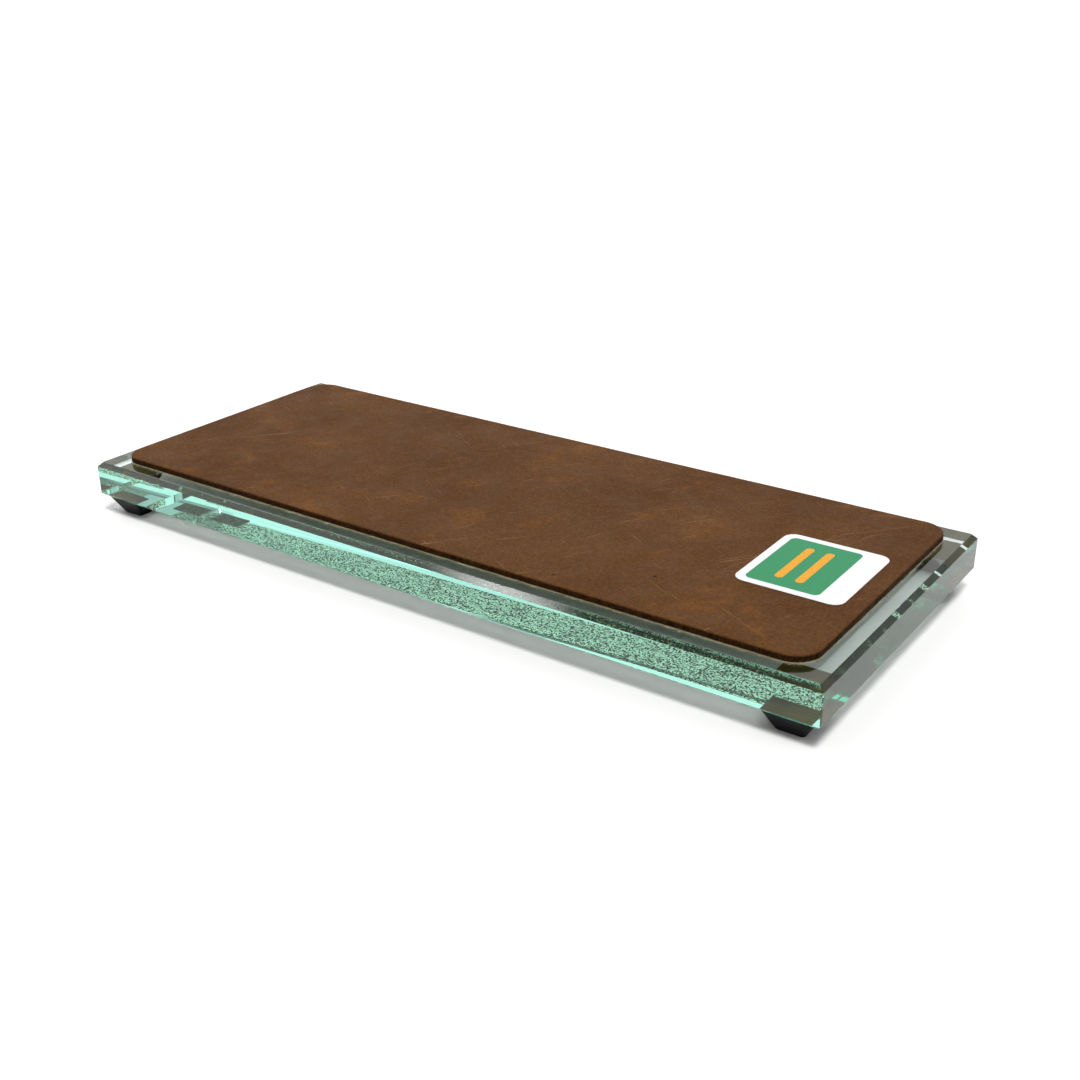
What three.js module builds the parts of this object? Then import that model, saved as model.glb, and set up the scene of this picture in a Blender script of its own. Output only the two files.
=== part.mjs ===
// A bench strop: a leather pad taped on a thick glass plate, which stands on four rubber feet.
//
// Millimetres. +X runs along the plate, +Y across it and +Z up. The origin is on the surface
// that the feet stand on, under the middle of the plate. The pieces lie flat on one another,
// so their faces meet at heights that are whole quarters or eighths of a millimetre.

import * as THREE from "three";

// Driving dimensions

const PLATE_LENGTH = 234;
const PLATE_WIDTH = 96;
const PLATE_THICKNESS = 10.5;
const PLATE_TOP_ARRIS_INSET = 1.3;
const PLATE_TOP_ARRIS_HEIGHT = 1.3;
const PLATE_BOTTOM_ARRIS = 0.75;
const PLATE_CORNER_ARRIS = 0.25;

const PAD_END_MARGIN = 5.75;
const PAD_SIDE_MARGIN = 4.875;
const PAD_THICKNESS = 2;
const PAD_CORNER_RADIUS = 7;
const PAD_EDGE_ROUND = 0.5;

const TAPE_THICKNESS = 0.25;
const TAPE_END_MARGIN = 4;
const TAPE_CORNER_RADIUS = 0.25;
const TAPE_STRIPS = {
  front: { middle: -30.95, width: 22.5 },
  middle: { middle: -2.75, width: 22.5 },
  back: { middle: 28.5, width: 19 },
};

const FOOT_TOP_SIDE = 12.7;
const FOOT_BOTTOM_SIDE = 7.3;
const FOOT_HEIGHT = 5.25;
const FOOT_TOP_CORNER_RADIUS = 1.2;
const FOOT_BOTTOM_CORNER_RADIUS = 0.8;
const FOOT_BOTTOM_EDGE_ROUND = 0.25;
const FOOT_END_MARGIN = 2.25;
const FOOT_SIDE_MARGIN = 1;

const FOOT_GLUE_THICKNESS = 0.25;
const FOOT_GLUE_INSET = 0.2;

const LABEL_LENGTH = 28;
const LABEL_WIDTH = 32;
const LABEL_THICKNESS = 0.125;
const LABEL_CORNER_RADIUS = 3;
const LABEL_END_MARGIN = 5;

const BEVEL_STEPS = 1;
const ROUND_STEPS = 8;
const SMALL_ROUND_STEPS = 4;

// Heights of the faces where the pieces meet

const PLATE_BOTTOM = FOOT_HEIGHT + FOOT_GLUE_THICKNESS;
const PLATE_TOP = PLATE_BOTTOM + PLATE_THICKNESS;
const PAD_BOTTOM = PLATE_TOP + TAPE_THICKNESS;
const PAD_TOP = PAD_BOTTOM + PAD_THICKNESS;

const PAD_LENGTH = PLATE_LENGTH - 2 * PAD_END_MARGIN;
const PAD_WIDTH = PLATE_WIDTH - 2 * PAD_SIDE_MARGIN;

// Materials

function material(color, roughness, metalness = 0) {
  return new THREE.MeshStandardMaterial({ color, roughness, metalness, flatShading: true });
}

function glassMaterial() {
  const glass = material(0x9fd8c8, 0.03);
  glass.transparent = true;
  glass.opacity = 0.45;
  return glass;
}

// Solids

// An anticlockwise rectangle centred on the origin. Each corner is an arc in a number of steps:
// one step makes it a flat bevel.
function cornerCutRectangle(length, width, radius, cornerSteps) {
  const points = [];
  for (let corner = 0; corner < 4; corner += 1) {
    const startAngle = (corner * Math.PI) / 2;
    const signX = corner === 0 || corner === 3 ? 1 : -1;
    const signY = corner < 2 ? 1 : -1;
    const centreX = signX * (length / 2 - radius);
    const centreY = signY * (width / 2 - radius);
    for (let step = 0; step <= cornerSteps; step += 1) {
      const angle = startAngle + (step / cornerSteps) * (Math.PI / 2);
      points.push([centreX + radius * Math.cos(angle), centreY + radius * Math.sin(angle)]);
    }
  }
  return points;
}

// A closed solid that passes through a stack of corner-cut rectangles, from the lowest to the
// highest. A layer is { length, width, radius, z }, and walls join it to the next one up.
function stackedSolid(layers, cornerSteps) {
  const positions = [];
  for (const { length, width, radius, z } of layers) {
    for (const [x, y] of cornerCutRectangle(length, width, radius, cornerSteps)) {
      positions.push(x, y, z);
    }
  }

  const ringSize = 4 * (cornerSteps + 1);
  const lastRing = (layers.length - 1) * ringSize;
  const triangles = [];
  for (let point = 1; point < ringSize - 1; point += 1) {
    triangles.push(0, point + 1, point);
    triangles.push(lastRing, lastRing + point, lastRing + point + 1);
  }
  for (let ring = 0; ring < lastRing; ring += ringSize) {
    for (let point = 0; point < ringSize; point += 1) {
      const a = ring + point;
      const b = ring + ((point + 1) % ringSize);
      triangles.push(a, b, b + ringSize);
      triangles.push(a, b + ringSize, a + ringSize);
    }
  }

  const geometry = new THREE.BufferGeometry();
  geometry.setAttribute("position", new THREE.Float32BufferAttribute(positions, 3));
  geometry.setIndex(triangles);
  geometry.computeVertexNormals();
  return geometry;
}

// A flat sheet with square edges.
function sheetSolid(length, width, thickness, radius, cornerSteps) {
  const outline = { length, width, radius };
  return stackedSolid([{ ...outline, z: 0 }, { ...outline, z: thickness }], cornerSteps);
}

function namedMesh(name, geometry, ownMaterial, x, y, z) {
  const mesh = new THREE.Mesh(geometry, ownMaterial);
  mesh.name = name;
  mesh.position.set(x, y, z);
  return mesh;
}

// Pieces

// Float glass with polished edges. The arris is wider along the top edges than along the bottom.
function glassPlate() {
  const layer = (inset, z) => ({
    length: PLATE_LENGTH - 2 * inset,
    width: PLATE_WIDTH - 2 * inset,
    radius: PLATE_CORNER_ARRIS,
    z,
  });
  const geometry = stackedSolid(
    [
      layer(PLATE_BOTTOM_ARRIS, 0),
      layer(0, PLATE_BOTTOM_ARRIS),
      layer(0, PLATE_THICKNESS - PLATE_TOP_ARRIS_HEIGHT),
      layer(PLATE_TOP_ARRIS_INSET, PLATE_THICKNESS),
    ],
    BEVEL_STEPS,
  );
  return namedMesh("glass_plate", geometry, glassMaterial(), 0, 0, PLATE_BOTTOM);
}

// Three strips of double-sided tape hold the pad. They were laid by hand, so the gaps between
// them aren't equal, and they stop short of the pad's rounded corners.
function padTape() {
  const group = new THREE.Group();
  const length = PAD_LENGTH - 2 * TAPE_END_MARGIN;
  for (const [side, { middle, width }] of Object.entries(TAPE_STRIPS)) {
    const geometry = sheetSolid(length, width, TAPE_THICKNESS, TAPE_CORNER_RADIUS, 1);
    const tape = material(0xb9a582, 0.5);
    group.add(namedMesh(`leather_tape_${side}`, geometry, tape, 0, middle, PLATE_TOP));
  }
  return group;
}

// The pad's cut edge is square at the bottom, and rubbed round at the top.
function leatherPad() {
  const layer = (inset, z) => ({
    length: PAD_LENGTH - 2 * inset,
    width: PAD_WIDTH - 2 * inset,
    radius: PAD_CORNER_RADIUS - inset,
    z,
  });
  const layers = [layer(0, 0)];
  for (let step = 0; step <= SMALL_ROUND_STEPS; step += 1) {
    const angle = (step / SMALL_ROUND_STEPS) * (Math.PI / 2);
    const inset = PAD_EDGE_ROUND * (1 - Math.cos(angle));
    layers.push(layer(inset, PAD_THICKNESS - PAD_EDGE_ROUND * (1 - Math.sin(angle))));
  }
  const geometry = stackedSolid(layers, ROUND_STEPS);
  return namedMesh("leather_pad", geometry, material(0x6b4a30, 0.6), 0, 0, PAD_BOTTOM);
}

// A plain sticker on the pad, near its right-hand end.
function label() {
  const x = PAD_LENGTH / 2 - LABEL_END_MARGIN - LABEL_LENGTH / 2;
  const geometry = sheetSolid(
    LABEL_LENGTH,
    LABEL_WIDTH,
    LABEL_THICKNESS,
    LABEL_CORNER_RADIUS,
    SMALL_ROUND_STEPS,
  );
  return namedMesh("label", geometry, material(0x37a06f, 0.45), x, 0, PAD_TOP);
}

// A bumper foot is a square block that narrows towards the table.
function footSolid() {
  const layer = (side, radius, z) => ({ length: side, width: side, radius, z });
  const soleSide = FOOT_BOTTOM_SIDE - 2 * FOOT_BOTTOM_EDGE_ROUND;
  return stackedSolid(
    [
      layer(soleSide, FOOT_BOTTOM_CORNER_RADIUS, 0),
      layer(FOOT_BOTTOM_SIDE, FOOT_BOTTOM_CORNER_RADIUS, FOOT_BOTTOM_EDGE_ROUND),
      layer(FOOT_TOP_SIDE, FOOT_TOP_CORNER_RADIUS, FOOT_HEIGHT),
    ],
    SMALL_ROUND_STEPS,
  );
}

function footGlueSolid() {
  const side = FOOT_TOP_SIDE - 2 * FOOT_GLUE_INSET;
  const radius = FOOT_TOP_CORNER_RADIUS - FOOT_GLUE_INSET;
  return sheetSolid(side, side, FOOT_GLUE_THICKNESS, radius, SMALL_ROUND_STEPS);
}

// One foot and its adhesive pad at each corner of the plate.
function feet() {
  const group = new THREE.Group();
  const footX = PLATE_LENGTH / 2 - FOOT_END_MARGIN - FOOT_TOP_SIDE / 2;
  const footY = PLATE_WIDTH / 2 - FOOT_SIDE_MARGIN - FOOT_TOP_SIDE / 2;
  for (const [side, y] of [["front", -footY], ["back", footY]]) {
    for (const [end, x] of [["left", -footX], ["right", footX]]) {
      const rubber = material(0x161616, 0.55);
      const glue = material(0x5b5232, 0.6);
      const corner = `${side}_${end}`;
      group.add(namedMesh(`foot_${corner}`, footSolid(), rubber, x, y, 0));
      group.add(namedMesh(`foot_adhesive_${corner}`, footGlueSolid(), glue, x, y, FOOT_HEIGHT));
    }
  }
  return group;
}

const strop = new THREE.Group();
strop.add(glassPlate(), padTape(), leatherPad(), label(), feet());

export default strop;
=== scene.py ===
"""Leather strop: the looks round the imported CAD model.

Everything is in metres, in the CAD model's frame: +X runs along the glass plate, +Z is up, and
the feet stand on z = 0. Places and sizes come from the CAD nodes' boxes. Colours are linear RGB.
"""

import math
import random

import bmesh
import bpy
from mathutils import Matrix, Vector, noise


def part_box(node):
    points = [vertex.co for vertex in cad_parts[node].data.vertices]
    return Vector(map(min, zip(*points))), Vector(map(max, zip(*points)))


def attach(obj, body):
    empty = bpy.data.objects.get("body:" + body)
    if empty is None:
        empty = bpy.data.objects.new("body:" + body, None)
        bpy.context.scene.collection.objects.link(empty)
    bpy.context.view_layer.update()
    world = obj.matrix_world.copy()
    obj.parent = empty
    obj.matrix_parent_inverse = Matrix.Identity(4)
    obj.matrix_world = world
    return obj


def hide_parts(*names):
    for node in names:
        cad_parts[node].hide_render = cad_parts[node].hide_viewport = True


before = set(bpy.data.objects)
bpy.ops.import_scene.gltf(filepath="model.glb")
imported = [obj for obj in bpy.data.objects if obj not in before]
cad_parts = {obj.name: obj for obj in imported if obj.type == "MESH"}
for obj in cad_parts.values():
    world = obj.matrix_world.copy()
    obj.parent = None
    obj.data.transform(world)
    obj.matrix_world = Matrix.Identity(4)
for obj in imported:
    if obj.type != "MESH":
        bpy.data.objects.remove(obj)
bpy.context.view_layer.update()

MM = 0.001
SEED = 7

PLATE_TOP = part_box("glass_plate")[1].z
PAD_LOW, PAD_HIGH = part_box("leather_pad")
LABEL_LOW, LABEL_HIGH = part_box("label")

TAPE_SIDES = ("front", "middle", "back")
FOOT_CORNERS = ("front_left", "front_right", "back_left", "back_right")

GLASS_IOR = 1.52
GLASS_DEPTH_COLOUR = (0.267, 0.858, 0.725)
GLASS_ABSORPTION = 12

# Adhesive wets the glass, so it dips into it by this much and is seen without a film of air.
OPTICAL_CONTACT = 0.03 * MM
TAPE_CORNER_RADIUS = 0.3 * MM
GUM_CORNER_RADIUS = 1 * MM
SLAB_CORNER_STEPS = 10


# ---- node helpers ----------------------------------------------------------------------

def node(tree, kind, **settings):
    """Add a node, set its properties, and set the inputs given as a dict called inputs."""
    inputs = settings.pop("inputs", {})
    made = tree.nodes.new("ShaderNode" + kind)
    for name, value in settings.items():
        setattr(made, name, value)
    for name, value in inputs.items():
        set_input(tree, made.inputs[name], value)
    return made


def set_input(tree, socket, value):
    """Link a socket to an output, or give it a constant."""
    if isinstance(value, bpy.types.NodeSocket):
        tree.links.new(value, socket)
    else:
        socket.default_value = value


def new_material(name):
    material = bpy.data.materials.new(name)
    material.use_nodes = True
    tree = material.node_tree
    tree.nodes.clear()
    shader = node(tree, "BsdfPrincipled")
    output = node(tree, "OutputMaterial")
    tree.links.new(shader.outputs[0], output.inputs["Surface"])
    return material, tree, shader


def object_coordinates(tree, stretch=(1, 1, 1)):
    """Object coordinates in millimetres, so that a noise size of 1 means 1 mm."""
    coordinates = node(tree, "TexCoord")
    scale = [component / MM for component in stretch]
    return node(
        tree, "Mapping", inputs={"Vector": coordinates.outputs["Object"], "Scale": scale}
    ).outputs[0]


def height_coordinate(tree):
    """Height over the bench, in metres."""
    coordinates = node(tree, "TexCoord")
    return node(
        tree, "SeparateXYZ", inputs={"Vector": coordinates.outputs["Object"]}
    ).outputs["Z"]


def noise_value(tree, vector, size, detail=3, roughness=0.5, distortion=0):
    """Fractal noise whose blobs are about size millimetres across."""
    return node(tree, "TexNoise", inputs={
        "Vector": vector, "Scale": 1 / size, "Detail": detail, "Roughness": roughness,
        "Distortion": distortion,
    }).outputs["Fac"]


def cell_distance(tree, vector, size):
    """Distance to the nearest of scattered points about size millimetres apart, 0 on a point."""
    return node(
        tree, "TexVoronoi", inputs={"Vector": vector, "Scale": 1 / size}
    ).outputs["Distance"]


def fitted(tree, value, low, high, to_low=0.0, to_high=1.0):
    """Map a value smoothly from one range to another and clamp it."""
    return node(tree, "MapRange", interpolation_type="SMOOTHSTEP", inputs={
        "Value": value, "From Min": low, "From Max": high, "To Min": to_low, "To Max": to_high,
    }).outputs[0]


def mixed(tree, factor, first, second):
    """Mix two colours. Either one is a socket or an RGB triple."""
    made = node(tree, "Mix", data_type="RGBA")
    factor_input, first_input, second_input = (made.inputs[index] for index in (0, 6, 7))
    tree.links.new(factor, factor_input)
    for socket, value in ((first_input, first), (second_input, second)):
        set_input(tree, socket, (*value, 1) if isinstance(value, tuple) else value)
    return made.outputs[2]


def arithmetic(tree, operation, first, second):
    return node(tree, "Math", operation=operation, inputs={0: first, 1: second}).outputs[0]


def bump(tree, shader, height, depth, strength, below=None):
    """Bump a shader by a height from 0 to 1 that stands for depth metres."""
    inputs = {"Height": height, "Distance": depth, "Strength": strength}
    if below is not None:
        inputs["Normal"] = below
    made = node(tree, "Bump", inputs=inputs).outputs[0]
    tree.links.new(made, shader.inputs["Normal"])
    return made


# ---- piece and mesh helpers ------------------------------------------------------------

def set_material(piece, material):
    piece.data.materials.clear()
    piece.data.materials.append(material)


def add_piece(name, mesh, replaced=None):
    piece = bpy.data.objects.new(name, mesh)
    bpy.context.scene.collection.objects.link(piece)
    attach(piece, "root")
    if replaced:
        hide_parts(replaced)
    return piece


def finished_mesh(name, shape, smooth=False):
    mesh = bpy.data.meshes.new(name)
    bmesh.ops.recalc_face_normals(shape, faces=shape.faces)
    shape.to_mesh(mesh)
    shape.free()
    for polygon in mesh.polygons:
        polygon.use_smooth = smooth
    return mesh


def join_rings(shape, lower, upper):
    """Add the band of faces between two rings of as many vertices."""
    count = len(lower)
    for index in range(count):
        other = (index + 1) % count
        shape.faces.new((lower[index], lower[other], upper[other], upper[index]))


def rounded_outline(length, width, radius, steps):
    """An anticlockwise rounded rectangle round the origin, as a list of (x, y)."""
    points = []
    for corner in range(4):
        sign_x = 1 if corner in (0, 3) else -1
        sign_y = 1 if corner < 2 else -1
        for step in range(steps + 1):
            angle = (corner + step / steps) * math.pi / 2
            points.append((
                sign_x * (length / 2 - radius) + radius * math.cos(angle),
                sign_y * (width / 2 - radius) + radius * math.sin(angle),
            ))
    return points


def slab(low, high, radius, z_low, z_high):
    """A flat slab with rounded corners, where low and high are corners of its outline."""
    centre_x = (low.x + high.x) / 2
    centre_y = (low.y + high.y) / 2
    outline = rounded_outline(high.x - low.x, high.y - low.y, radius, SLAB_CORNER_STEPS)
    shape = bmesh.new()
    bottom, top = (
        [shape.verts.new((centre_x + x, centre_y + y, z)) for x, y in outline]
        for z in (z_low, z_high)
    )
    shape.faces.new(bottom[::-1])
    join_rings(shape, bottom, top)
    shape.faces.new(top)
    return shape


# ---- materials -------------------------------------------------------------------------
# Noise sizes are in millimetres. The two numbers after a noise in fitted() are the levels
# between which one colour gives way to the other: noise stays mostly between 0.3 and 0.7.

LEATHER_SHADED_BROWN = (0.083, 0.032, 0.0073)
LEATHER_BROWN = (0.110, 0.0445, 0.0112)
LEATHER_BENT_ORANGE = (0.19, 0.070, 0.009)
LEATHER_GRAIN_TIP = (0.17, 0.070, 0.014)
LEATHER_GRAIN_SHADE = (0.03, 0.011, 0.003)
LEATHER_SCRATCH = (0.26, 0.14, 0.05)
LEATHER_PIT = (0.012, 0.006, 0.003)
LEATHER_CUT_DARK = (0.008, 0.003, 0.0004)
LEATHER_CUT_BROWN = (0.052, 0.019, 0.0022)
LEATHER_FLESH_LINE = (0.40, 0.33, 0.19)

# The face gives way to the cut between these depths under the top, and the cut to the pale
# flesh side between these heights over the bottom.
CUT_STARTS = (0.09 * MM, 0.42 * MM)
FLESH_ENDS = (0.20 * MM, 0.36 * MM)

# Each set of scratches: direction in radians, width in millimetres, and how rare it is.
SCRATCHES = ((0.5, 1.2, 0.70), (-0.9, 1.6, 0.69), (1.9, 1.0, 0.70))
SCRATCH_STRETCH = (0.07, 2.2, 1)
SCRATCH_SHIFT = 37
SCRATCH_SOFTNESS = 0.07
SCRATCH_STRENGTH = 0.55

# Millimetres between the points that pits and bubbles lie on.
PIT_SPACING = 1 / 0.045
GUM_BUBBLE_SPACING = 1 / 0.8

SUEDE_DARK = (0.34, 0.275, 0.15)
SUEDE_PALE = (0.72, 0.635, 0.45)

TAPE_WETTED_DARK = (0.06, 0.050, 0.018)
TAPE_WETTED_PALE = (0.12, 0.098, 0.042)
TAPE_OVER_AIR = (0.76, 0.74, 0.58)

GUM_DARK = (0.055, 0.040, 0.0)
GUM_PALE = (0.115, 0.082, 0.0)
GUM_BUBBLE = (0.12, 0.095, 0.03)

RUBBER_DARK = (0.0015, 0.0017, 0.0018)
RUBBER_DUSTY = (0.004, 0.0042, 0.0044)
RUBBER_SOLE = (0.014, 0.014, 0.014)
SOLE_RUBBED_UP_TO = 0.6 * MM

LABEL_WHITE = ((0.66, 0.67, 0.68), (0.74, 0.74, 0.74))
LABEL_GREEN = ((0.013, 0.20, 0.075), (0.020, 0.225, 0.09))
LABEL_GOLD = ((0.62, 0.27, 0.004), (0.70, 0.32, 0.009))


def glass_material():
    """Clear float glass, green in its depth."""
    material, tree, shader = new_material("float_glass")
    shader.inputs["Base Color"].default_value = (1, 1, 1, 1)
    shader.inputs["IOR"].default_value = GLASS_IOR
    shader.inputs["Transmission Weight"].default_value = 1
    shader.inputs["Roughness"].default_value = 0
    volume = node(tree, "VolumeAbsorption", inputs={
        "Color": (*GLASS_DEPTH_COLOUR, 1), "Density": GLASS_ABSORPTION,
    })
    tree.links.new(volume.outputs[0], tree.nodes["Material Output"].inputs["Volume"])
    return material


def leather_material():
    """Oily pull-up leather with a hand-cut edge."""
    material, tree, shader = new_material("pull_up_leather")
    place = object_coordinates(tree)

    colour = leather_face_colour(tree, place)
    colour = leather_with_scratches(tree, place, colour)
    colour = leather_with_cut_edge(tree, colour)
    tree.links.new(colour, shader.inputs["Base Color"])

    gloss = noise_value(tree, place, 7, detail=4)
    tree.links.new(fitted(tree, gloss, 0.25, 0.75, 0.52, 0.68), shader.inputs["Roughness"])
    shader.inputs["Specular IOR Level"].default_value = 0.06

    soft = noise_value(tree, place, 2.2, detail=4, roughness=0.6)
    pores = noise_value(tree, place, 0.32, detail=3, roughness=0.6)
    waves = bump(tree, shader, soft, 0.10 * MM, 0.6)
    bump(tree, shader, pores, 0.05 * MM, 0.55, below=waves)
    return material


def leather_face_colour(tree, place):
    """Cloudy brown, orange where it has been bent, with a fine grain."""
    clouds = noise_value(tree, place, 26, detail=4, roughness=0.55)
    colour = mixed(tree, fitted(tree, clouds, 0.32, 0.68), LEATHER_SHADED_BROWN, LEATHER_BROWN)
    bent = noise_value(tree, place, 12, detail=5, roughness=0.65, distortion=0.4)
    colour = mixed(tree, fitted(tree, bent, 0.54, 0.76, 0, 0.75), colour, LEATHER_BENT_ORANGE)
    grain = noise_value(tree, place, 0.45, detail=2, roughness=0.7)
    colour = mixed(tree, fitted(tree, grain, 0.52, 0.72, 0, 0.5), colour, LEATHER_GRAIN_TIP)
    mottle = noise_value(tree, place, 0.9, detail=4, roughness=0.75)
    return mixed(tree, fitted(tree, mottle, 0.3, 0.7, 0.5, 0), colour, LEATHER_GRAIN_SHADE)


def leather_with_scratches(tree, place, colour):
    """Pale scratches in three directions, and a few dark pits."""
    for angle, width, rarity in SCRATCHES:
        turned = node(tree, "Mapping", inputs={"Vector": place, "Rotation": (0, 0, angle)})
        drawn_out = node(tree, "Mapping", inputs={
            "Vector": turned.outputs[0],
            "Scale": SCRATCH_STRETCH,
            "Location": (width * SCRATCH_SHIFT, 0, 0),
        }).outputs[0]
        lines = noise_value(tree, drawn_out, width, detail=2, distortion=0.8)
        scratch = fitted(tree, lines, rarity, rarity + SCRATCH_SOFTNESS, 0, SCRATCH_STRENGTH)
        colour = mixed(tree, scratch, colour, LEATHER_SCRATCH)
    pits = cell_distance(tree, place, PIT_SPACING)
    return mixed(tree, fitted(tree, pits, 0.012, 0.035, 1, 0), colour, LEATHER_PIT)


def leather_with_cut_edge(tree, colour):
    """A dark burnished cut down the wall, and a pale line of flesh side at its foot."""
    height = height_coordinate(tree)
    fibre_place = object_coordinates(tree, (1, 1, 0.35))
    fibres = noise_value(tree, fibre_place, 0.45, detail=5, roughness=0.7)
    cut = mixed(tree, fitted(tree, fibres, 0.35, 0.7), LEATHER_CUT_DARK, LEATHER_CUT_BROWN)
    below_top = arithmetic(tree, "SUBTRACT", PAD_HIGH.z, height)
    colour = mixed(tree, fitted(tree, below_top, *CUT_STARTS), colour, cut)
    flesh_low, flesh_high = (PAD_LOW.z + rise for rise in FLESH_ENDS)
    flesh = fitted(tree, height, flesh_low, flesh_high, 1, 0)
    return mixed(tree, flesh, colour, LEATHER_FLESH_LINE)


def flesh_material():
    """Pale suede fibres from the back of the leather."""
    material, tree, shader = new_material("leather_flesh_fibre")
    place = object_coordinates(tree)
    tone = noise_value(tree, place, 3, detail=4, roughness=0.7)
    colour = mixed(tree, fitted(tree, tone, 0.35, 0.65), SUEDE_DARK, SUEDE_PALE)
    tree.links.new(colour, shader.inputs["Base Color"])
    shader.inputs["Roughness"].default_value = 0.9
    shader.inputs["Sheen Weight"].default_value = 0.3
    fuzz = noise_value(tree, place, 0.12, detail=2)
    bump(tree, shader, fuzz, 0.03 * MM, 0.6)
    return material


def tape_material():
    """Double-sided tape stuck to the glass, wetting it in spots and leaving air in others.

    Seen at a low angle through the glass, a spot with air mirrors and a wetted one shows the
    tape. Seen straight on, both show the tape, paler where there is air.
    """
    material, tree, shader = new_material("tape_on_glass")
    place = object_coordinates(tree)
    weave_place = object_coordinates(tree, (1, 0.6, 1))
    weave = noise_value(tree, weave_place, 0.52, detail=2, roughness=0.65)
    patches = noise_value(tree, place, 7, detail=3)
    patchy_weave = arithmetic(tree, "ADD", weave, fitted(tree, patches, 0.3, 0.7, -0.015, 0.015))
    air = fitted(tree, patchy_weave, 0.46, 0.515)
    total_reflection = node(tree, "Fresnel", inputs={"IOR": 1 / GLASS_IOR}).outputs[0]
    mirror = arithmetic(tree, "MULTIPLY", air, total_reflection)

    tone = noise_value(tree, place, 2.5, detail=4, roughness=0.65)
    wetted = mixed(tree, fitted(tree, tone, 0.3, 0.7), TAPE_WETTED_DARK, TAPE_WETTED_PALE)
    tree.links.new(mixed(tree, air, wetted, TAPE_OVER_AIR), shader.inputs["Base Color"])
    tree.links.new(mirror, shader.inputs["Metallic"])
    tree.links.new(fitted(tree, mirror, 0, 1, 0.6, 0.02), shader.inputs["Roughness"])
    return material


def foot_gum_material():
    """Clear gum on a dark foot, olive through the glass, with small bubbles and streaks."""
    material, tree, shader = new_material("foot_gum")
    place = object_coordinates(tree)
    streak_place = object_coordinates(tree, (0.3, 1, 1))
    streaks = noise_value(tree, streak_place, 1.4, detail=4, roughness=0.65)
    colour = mixed(tree, fitted(tree, streaks, 0.3, 0.72), GUM_DARK, GUM_PALE)
    bubbles = cell_distance(tree, place, GUM_BUBBLE_SPACING)
    colour = mixed(tree, fitted(tree, bubbles, 0.10, 0.2, 0.4, 0), colour, GUM_BUBBLE)
    tree.links.new(colour, shader.inputs["Base Color"])
    tree.links.new(fitted(tree, streaks, 0.3, 0.7, 0.4, 0.7), shader.inputs["Roughness"])
    bump(tree, shader, streaks, 0.03 * MM, 0.4)
    return material


def rubber_material():
    """Black moulded rubber with a fine matt skin, greyer where it rubs the bench."""
    material, tree, shader = new_material("bumper_rubber")
    place = object_coordinates(tree)
    dust = noise_value(tree, place, 2.4, detail=5, roughness=0.7)
    colour = mixed(tree, fitted(tree, dust, 0.45, 0.75), RUBBER_DARK, RUBBER_DUSTY)
    sole = fitted(tree, height_coordinate(tree), 0.1 * MM, SOLE_RUBBED_UP_TO, 0.6, 0)
    colour = mixed(tree, sole, colour, RUBBER_SOLE)
    tree.links.new(colour, shader.inputs["Base Color"])
    shader.inputs["Specular IOR Level"].default_value = 0.12
    tree.links.new(fitted(tree, dust, 0.3, 0.7, 0.42, 0.6), shader.inputs["Roughness"])
    skin = noise_value(tree, place, 0.14, detail=2)
    bump(tree, shader, skin, 0.02 * MM, 0.5)
    return material


def vinyl_material(name, tones):
    """Printed label vinyl: one ink, very slightly uneven, with a satin surface."""
    material, tree, shader = new_material(name)
    place = object_coordinates(tree)
    tone = noise_value(tree, place, 1.6, detail=5, roughness=0.7)
    colour = mixed(tree, fitted(tree, tone, 0.3, 0.7), *tones)
    tree.links.new(colour, shader.inputs["Base Color"])
    tree.links.new(fitted(tree, tone, 0.3, 0.7, 0.38, 0.5), shader.inputs["Roughness"])
    shader.inputs["Specular IOR Level"].default_value = 0.2
    ripple = noise_value(tree, place, 2.8, detail=3)
    bump(tree, shader, ripple, 0.05 * MM, 0.35)
    return material


# ---- the leather pad -------------------------------------------------------------------

PAD_CORNER_RADIUS = 7 * MM
PAD_EDGE_ROUND = 0.5 * MM
PAD_WALL_ROWS = 12
PAD_GRID_STEP = 0.6 * MM

# Grid lines lie at these distances from the edge, closer together where it is rubbed round.
PAD_EDGE_LINES = [distance * MM for distance in (0, 0.06, 0.16, 0.3, 0.48, 0.7, 1.0, 1.4)]

PAD_HALF_X = (PAD_HIGH.x - PAD_LOW.x) / 2
PAD_HALF_Y = (PAD_HIGH.y - PAD_LOW.y) / 2
PAD_CORE_X = PAD_HALF_X - PAD_CORNER_RADIUS
PAD_CORE_Y = PAD_HALF_Y - PAD_CORNER_RADIUS

# The top sinks by this much, so that its waves stay under the CAD pad's top. Each wave is a
# height and a size.
PAD_TOP_SINK = 0.05 * MM
PAD_TOP_WAVES = ((0.035 * MM, 24 * MM), (0.018 * MM, 5 * MM))


def grid_lines(half):
    """Grid line places from -half to half, closer together near both ends."""
    edge_lines = [half - distance for distance in PAD_EDGE_LINES]
    inner = edge_lines[-1]
    count = round(2 * inner / PAD_GRID_STEP)
    middle = [-inner + 2 * inner * step / count for step in range(1, count)]
    return [-place for place in edge_lines] + middle + edge_lines[::-1]


def rounded_corner_place(x, y):
    """Move a point of the pad's square corner into the quarter disc of its rounded corner."""
    across = (abs(x) - PAD_CORE_X) / PAD_CORNER_RADIUS
    along = (abs(y) - PAD_CORE_Y) / PAD_CORNER_RADIUS
    if across <= 0 or along <= 0:
        return x, y
    moved_x = PAD_CORE_X + PAD_CORNER_RADIUS * across * math.sqrt(1 - along * along / 2)
    moved_y = PAD_CORE_Y + PAD_CORNER_RADIUS * along * math.sqrt(1 - across * across / 2)
    return math.copysign(moved_x, x), math.copysign(moved_y, y)


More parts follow.
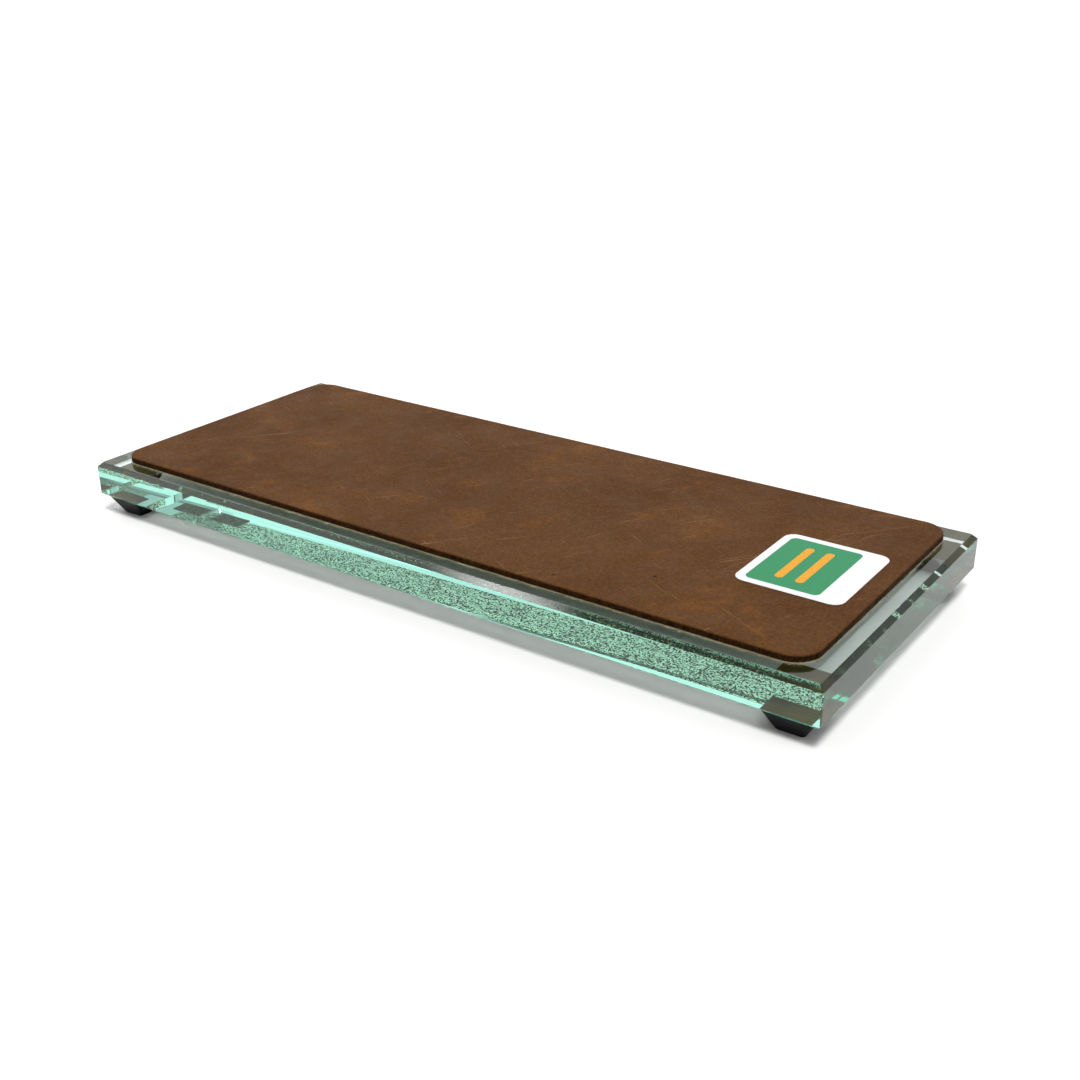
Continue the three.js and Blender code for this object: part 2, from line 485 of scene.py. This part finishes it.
def edge_distance(x, y):
    """How far inside the pad's outline a point is."""
    past_core_x = abs(x) - PAD_CORE_X
    past_core_y = abs(y) - PAD_CORE_Y
    if past_core_x > 0 and past_core_y > 0:
        distance = PAD_CORNER_RADIUS - math.hypot(past_core_x, past_core_y)
    else:
        distance = min(PAD_HALF_X - abs(x), PAD_HALF_Y - abs(y))
    return max(distance, 0)


def soft_noise(x, y, z, size, seed):
    """Smooth noise from -1 to 1, with blobs about size metres across."""
    return noise.noise(Vector((x / size + seed, y / size - seed, z / size)))


def pad_top_height(x, y):
    """The leather's top surface: rubbed down at the edge, and never quite flat."""
    z = PAD_HIGH.z - PAD_TOP_SINK
    for number, (height, size) in enumerate(PAD_TOP_WAVES, start=1):
        z += height * soft_noise(x, y, 0, size, number * SEED)
    distance = edge_distance(x, y)
    if distance < PAD_EDGE_ROUND:
        left = 1 - distance / PAD_EDGE_ROUND
        z -= PAD_EDGE_ROUND * (1 - math.sqrt(1 - left * left))
    return z


def pad_wall_offset(x, y, share):
    """How far the hand-cut wall stands out of its outline, where share is 0 at the bottom."""
    sway = 0.10 * MM * soft_noise(x, y, 0, 9 * MM, 3 * SEED)
    tooth = 0.09 * MM * soft_noise(x, y, share * 1.2 * MM, 0.9 * MM, 4 * SEED)
    grain = 0.06 * MM * soft_noise(x, y, share * 2 * MM, 0.45 * MM, 5 * SEED)
    return sway + (tooth + grain) * (1 - 0.6 * share)


def pad_wall_place(rim_place, share):
    """A point of the wall under a point of the rim, where share is 0 at the bottom."""
    x, y, rim_z = rim_place
    core_place = Vector((
        max(-PAD_CORE_X, min(PAD_CORE_X, x)),
        max(-PAD_CORE_Y, min(PAD_CORE_Y, y)),
    ))
    outward = (Vector((x, y)) - core_place).normalized()
    offset = pad_wall_offset(x, y, share)
    z = PAD_LOW.z + (rim_z - PAD_LOW.z) * share
    return x + outward.x * offset, y + outward.y * offset, z


def add_pad_top(shape):
    """Add the top surface, and return its vertices in rows."""
    rows = []
    for flat_y in grid_lines(PAD_HALF_Y):
        row = []
        for flat_x in grid_lines(PAD_HALF_X):
            x, y = rounded_corner_place(flat_x, flat_y)
            row.append(shape.verts.new((x, y, pad_top_height(x, y))))
        rows.append(row)
    for lower, upper in zip(rows, rows[1:]):
        for a, b, c, d in zip(lower, lower[1:], upper[1:], upper):
            shape.faces.new((a, b, c, d))
    return rows


def rim_of(rows):
    """The outermost vertices of a grid, all the way round."""
    there = rows[0] + [row[-1] for row in rows[1:]]
    back = rows[-1][-2::-1] + [row[0] for row in rows[-2:0:-1]]
    return there + back


def leather_pad():
    """A closed mesh: an uneven top, a hand-cut wall and a flat bottom."""
    shape = bmesh.new()
    rim = rim_of(add_pad_top(shape))
    ring = rim
    for level in range(1, PAD_WALL_ROWS + 1):
        share = 1 - level / PAD_WALL_ROWS
        next_ring = [shape.verts.new(pad_wall_place(vertex.co, share)) for vertex in rim]
        join_rings(shape, ring, next_ring)
        ring = next_ring
    shape.faces.new(ring)
    mesh = finished_mesh("leather_slab", shape, smooth=True)
    return add_piece("leather_slab", mesh, replaced="leather_pad")


# ---- suede fibres along the pad's bottom edge ------------------------------------------

FIBRE_SPACING = 0.17 * MM
FIBRE_ROOT_INSET = 0.25 * MM
FIBRE_ROOT_LOWEST = -0.12 * MM
FIBRE_ROOT_SPREAD = 0.30 * MM
FIBRE_SHORTEST = 0.35 * MM
FIBRE_LENGTH_SPREAD = 0.35 * MM
FIBRE_CURL = 0.9
FIBRE_DROOP = 0.10 * MM
FIBRE_THINNEST = 0.045 * MM
FIBRE_THICKNESS_SPREAD = 0.04 * MM
FIBRE_TAPER = 0.75
FIBRE_STEPS = 3
FIBRE_SIDES = 3
OUTLINE_CORNER_STEPS = 24


def flesh_fibres():
    """Loose suede fibres that stick out along the bottom of the pad's cut edge."""
    draw = random.Random(SEED)
    outline = rounded_outline(
        2 * PAD_HALF_X, 2 * PAD_HALF_Y, PAD_CORNER_RADIUS, OUTLINE_CORNER_STEPS
    )
    shape = bmesh.new()
    for (x0, y0), (x1, y1) in zip(outline, outline[1:] + outline[:1]):
        along = Vector((x1 - x0, y1 - y0, 0))
        out = Vector((along.y, -along.x, 0)).normalized()
        for _ in range(max(1, round(along.length / FIBRE_SPACING))):
            root = Vector((x0, y0, 0)) + along * draw.random() - out * FIBRE_ROOT_INSET
            root.z = PAD_LOW.z + FIBRE_ROOT_LOWEST + draw.random() * FIBRE_ROOT_SPREAD
            add_fibre(shape, root, out, along.normalized(), draw)
    mesh = finished_mesh("leather_flesh_fibres", shape, smooth=True)
    return add_piece("leather_flesh_fibres", mesh)


def add_fibre(shape, root, out, along, draw):
    """One curled fibre: a thin three-sided tube that tapers to its tip."""
    reach = FIBRE_SHORTEST + FIBRE_LENGTH_SPREAD * draw.random()
    drift = along * draw.uniform(-FIBRE_CURL, FIBRE_CURL) * MM
    thickness = FIBRE_THINNEST + FIBRE_THICKNESS_SPREAD * draw.random()
    rings = []
    for step in range(FIBRE_STEPS + 1):
        share = step / FIBRE_STEPS
        middle = root + out * reach * share + drift * share * share
        middle.z = max(PLATE_TOP + thickness, root.z - FIBRE_DROOP * share)
        radius = thickness * (1 - FIBRE_TAPER * share)
        rings.append(add_fibre_ring(shape, middle, along, radius))
    shape.faces.new(rings[0])
    for ring, next_ring in zip(rings, rings[1:]):
        join_rings(shape, ring, next_ring)
    shape.faces.new(rings[-1][::-1])


def add_fibre_ring(shape, middle, along, radius):
    ring = []
    for side in range(FIBRE_SIDES):
        angle = side * math.tau / FIBRE_SIDES
        sideways = along * math.cos(angle) + Vector((0, 0, math.sin(angle)))
        ring.append(shape.verts.new(middle + sideways * radius))
    return ring


# ---- adhesives and label ---------------------------------------------------------------

INK_THICKNESS = 0.02 * MM
LABEL_BORDER = 2.2 * MM
LABEL_BLANK_END = 6.5 * MM
PANEL_CORNER_RADIUS = 1.6 * MM
BAR_WIDTH = 2.2 * MM
BAR_CORNER_RADIUS = 1.05 * MM
BAR_END_MARGIN = 4 * MM
BAR_SHARES_OF_PANEL = (0.36, 0.64)


def tape_strip(side):
    low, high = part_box(f"leather_tape_{side}")
    shape = slab(low, high, TAPE_CORNER_RADIUS, low.z - OPTICAL_CONTACT, high.z)
    name = f"tape_strip_{side}"
    mesh = finished_mesh(name, shape)
    return add_piece(name, mesh, replaced=f"leather_tape_{side}")


def foot_gum(corner):
    low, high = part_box(f"foot_adhesive_{corner}")
    shape = slab(low, high, GUM_CORNER_RADIUS, low.z, high.z + OPTICAL_CONTACT)
    name = f"foot_gum_{corner}"
    mesh = finished_mesh(name, shape)
    return add_piece(name, mesh, replaced=f"foot_adhesive_{corner}")


def ink_layer(name, low, high, radius, layers):
    """A printed shape that stands this many layers of ink over the label."""
    z_low = LABEL_HIGH.z - INK_THICKNESS
    z_high = LABEL_HIGH.z + layers * INK_THICKNESS
    return add_piece(name, finished_mesh(name, slab(low, high, radius, z_low, z_high)))


def label_print():
    """A green panel with two plain gold bars on it. Returns the panel and the bars."""
    panel_low = Vector((LABEL_LOW.x + LABEL_BORDER, LABEL_LOW.y + LABEL_BORDER))
    panel_high = Vector((LABEL_HIGH.x - LABEL_BLANK_END, LABEL_HIGH.y - LABEL_BORDER))
    panel = ink_layer("label_panel", panel_low, panel_high, PANEL_CORNER_RADIUS, 1)
    bars = []
    for number, share in enumerate(BAR_SHARES_OF_PANEL, start=1):
        x = panel_low.x + (panel_high.x - panel_low.x) * share
        low = Vector((x - BAR_WIDTH / 2, panel_low.y + BAR_END_MARGIN))
        high = Vector((x + BAR_WIDTH / 2, panel_high.y - BAR_END_MARGIN))
        bars.append(ink_layer(f"label_bar_{number}", low, high, BAR_CORNER_RADIUS, 2))
    return panel, bars


# ---- studio ----------------------------------------------------------------------------

FLOOR_SIZE = 16
FLOOR_COLOUR = (0.86, 0.86, 0.85, 1)

# A light tent of radiances, dark in front and low down, with a bright wall on the left and
# behind. Its ceiling is flat, one unit up: places on it are x and y of a direction over its z.
TENT_RADIANCE = 0.66
FRONT_RADIANCE = 0.10
FRONT_DIRECTION = (0.35, -0.9, 0.15)
LOW_RADIANCE = 0.05
LOW_HEIGHTS = (0.10, 0.34)
WALL_RADIANCE = 1.08
WALL_DIRECTION = (-0.62, 0.55, 0.55)
STRIP_RADIANCE = (1.7, 1.75, 1.7)
STRIP_ON_CEILING = {"x": (-1.8, -0.72), "y": (-0.85, -0.45), "soft": 0.08}
LAMP_RADIANCE = 11
LAMP_ON_CEILING = {"x": (-0.815, -0.70), "y": (-0.72, -0.52), "soft": 0.05}
CEILING_LOWEST_Z = 0.05
BACKDROP_RADIANCE = 1.0

SOFTBOX_IRRADIANCE = 2.45
SOFTBOX_WIDTH = math.radians(18)
SOFTBOX_DIRECTION = Vector((0.26, -0.28, 1)).normalized()

CAMERA_AZIMUTH = math.radians(35.302)
CAMERA_ELEVATION = math.radians(24.214)
CAMERA_ROLL = math.radians(-0.423)
CAMERA_DISTANCE = 375.83 * MM
CAMERA_TARGET = Vector((11.81 * MM, -1.11 * MM, PLATE_TOP - 10.25 * MM))
CAMERA_LENS = 45.175
CAMERA_SENSOR_WIDTH = 36

GLASS_BOUNCES = 32
DIFFUSE_BOUNCES = 5


def add_floor():
    bpy.ops.mesh.primitive_plane_add(size=FLOOR_SIZE, location=(0, 0, 0))
    floor = bpy.context.object
    floor.name = "studio_floor"
    material, _, shader = new_material("white_sweep")
    shader.inputs["Base Color"].default_value = FLOOR_COLOUR
    shader.inputs["Roughness"].default_value = 0.95
    shader.inputs["Specular IOR Level"].default_value = 0.1
    set_material(floor, material)


def grey(radiance):
    return (radiance, radiance, radiance)


def direction_match(tree, direction, target, low, high):
    """1 where a direction is close to the target one, falling to 0 further off."""
    closeness = node(tree, "VectorMath", operation="DOT_PRODUCT", inputs={
        0: direction, 1: tuple(Vector(target).normalized()),
    }).outputs["Value"]
    return fitted(tree, closeness, low, high)


def within(tree, value, limits, soft):
    """1 where a value is between two limits, with soft ends."""
    low, high = limits
    rise = fitted(tree, value, low - soft, low + soft)
    fall = fitted(tree, value, high - soft, high + soft, 1, 0)
    return arithmetic(tree, "MULTIPLY", rise, fall)


def on_ceiling(tree, x, y, patch):
    """1 inside a rectangle of the tent's ceiling, with soft edges."""
    return arithmetic(
        tree, "MULTIPLY",
        within(tree, x, patch["x"], patch["soft"]),
        within(tree, y, patch["y"], patch["soft"]),
    )


def tent_light(tree):
    """The tent's radiance in each direction."""
    direction = node(tree, "TexCoord").outputs["Generated"]
    parts = node(tree, "SeparateXYZ", inputs={"Vector": direction}).outputs

    front = direction_match(tree, direction, FRONT_DIRECTION, 0.1, 0.9)
    light = mixed(tree, front, grey(TENT_RADIANCE), grey(FRONT_RADIANCE))
    low_down = fitted(tree, parts["Z"], *LOW_HEIGHTS, 1, 0)
    light = mixed(tree, low_down, light, grey(LOW_RADIANCE))
    wall = direction_match(tree, direction, WALL_DIRECTION, 0.42, 0.72)
    light = mixed(tree, wall, light, grey(WALL_RADIANCE))

    z = arithmetic(tree, "MAXIMUM", parts["Z"], CEILING_LOWEST_Z)
    x = arithmetic(tree, "DIVIDE", parts["X"], z)
    y = arithmetic(tree, "DIVIDE", parts["Y"], z)
    light = mixed(tree, on_ceiling(tree, x, y, STRIP_ON_CEILING), light, STRIP_RADIANCE)
    return mixed(tree, on_ceiling(tree, x, y, LAMP_ON_CEILING), light, grey(LAMP_RADIANCE))


def add_world():
    """The light tent, in front of which the camera sees a plain white backdrop."""
    world = bpy.data.worlds.new("light_tent")
    bpy.context.scene.world = world
    world.use_nodes = True
    tree = world.node_tree
    tree.nodes.clear()
    seen = node(tree, "LightPath").outputs["Is Camera Ray"]
    colour = mixed(tree, seen, tent_light(tree), grey(BACKDROP_RADIANCE))
    background = node(tree, "Background", inputs={"Color": colour, "Strength": 1.0})
    output = node(tree, "OutputWorld")
    tree.links.new(background.outputs[0], output.inputs["Surface"])


def add_key_light():
    """A softbox nearly overhead, a little to the right and in front, far off."""
    lamp = bpy.data.lights.new("softbox", "SUN")
    lamp.energy = SOFTBOX_IRRADIANCE
    lamp.angle = SOFTBOX_WIDTH
    light = bpy.data.objects.new("softbox", lamp)
    bpy.context.scene.collection.objects.link(light)
    light.rotation_euler = SOFTBOX_DIRECTION.to_track_quat("Z", "Y").to_euler()
    light.location = SOFTBOX_DIRECTION


def add_camera():
    """Look at the target from a point that its azimuth, elevation and distance give."""
    back = Vector((
        math.sin(CAMERA_AZIMUTH) * math.cos(CAMERA_ELEVATION),
        -math.cos(CAMERA_AZIMUTH) * math.cos(CAMERA_ELEVATION),
        math.sin(CAMERA_ELEVATION),
    ))
    camera = bpy.data.cameras.new("camera")
    camera.sensor_width = CAMERA_SENSOR_WIDTH
    camera.lens = CAMERA_LENS
    camera.clip_start = 10 * MM
    holder = bpy.data.objects.new("camera", camera)
    bpy.context.scene.collection.objects.link(holder)
    place = Matrix.Translation(CAMERA_TARGET + back * CAMERA_DISTANCE)
    turn = back.to_track_quat("Z", "Y").to_matrix().to_4x4()
    holder.matrix_world = place @ turn @ Matrix.Rotation(CAMERA_ROLL, 4, "Z")
    bpy.context.scene.camera = holder


def set_light_paths():
    """Glass needs many bounces, because its light zigzags along the plate."""
    scene = bpy.context.scene
    scene.view_settings.view_transform = "Standard"
    scene.cycles.max_bounces = GLASS_BOUNCES
    scene.cycles.transmission_bounces = GLASS_BOUNCES
    scene.cycles.glossy_bounces = GLASS_BOUNCES
    scene.cycles.diffuse_bounces = DIFFUSE_BOUNCES
    scene.cycles.sample_clamp_indirect = 0


# ---- build -----------------------------------------------------------------------------

add_camera()

set_material(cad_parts["glass_plate"], glass_material())
set_material(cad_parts["label"], vinyl_material("label_white", LABEL_WHITE))

set_material(leather_pad(), leather_material())
set_material(flesh_fibres(), flesh_material())
tape = tape_material()
for side in TAPE_SIDES:
    set_material(tape_strip(side), tape)

green_ink = vinyl_material("label_green", LABEL_GREEN)
gold_ink = vinyl_material("label_gold", LABEL_GOLD)
panel, bars = label_print()
set_material(panel, green_ink)
for bar in bars:
    set_material(bar, gold_ink)

rubber = rubber_material()
gum = foot_gum_material()
for corner in FOOT_CORNERS:
    set_material(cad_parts[f"foot_{corner}"], rubber)
    set_material(foot_gum(corner), gum)

add_floor()
add_world()
add_key_light()
set_light_paths()
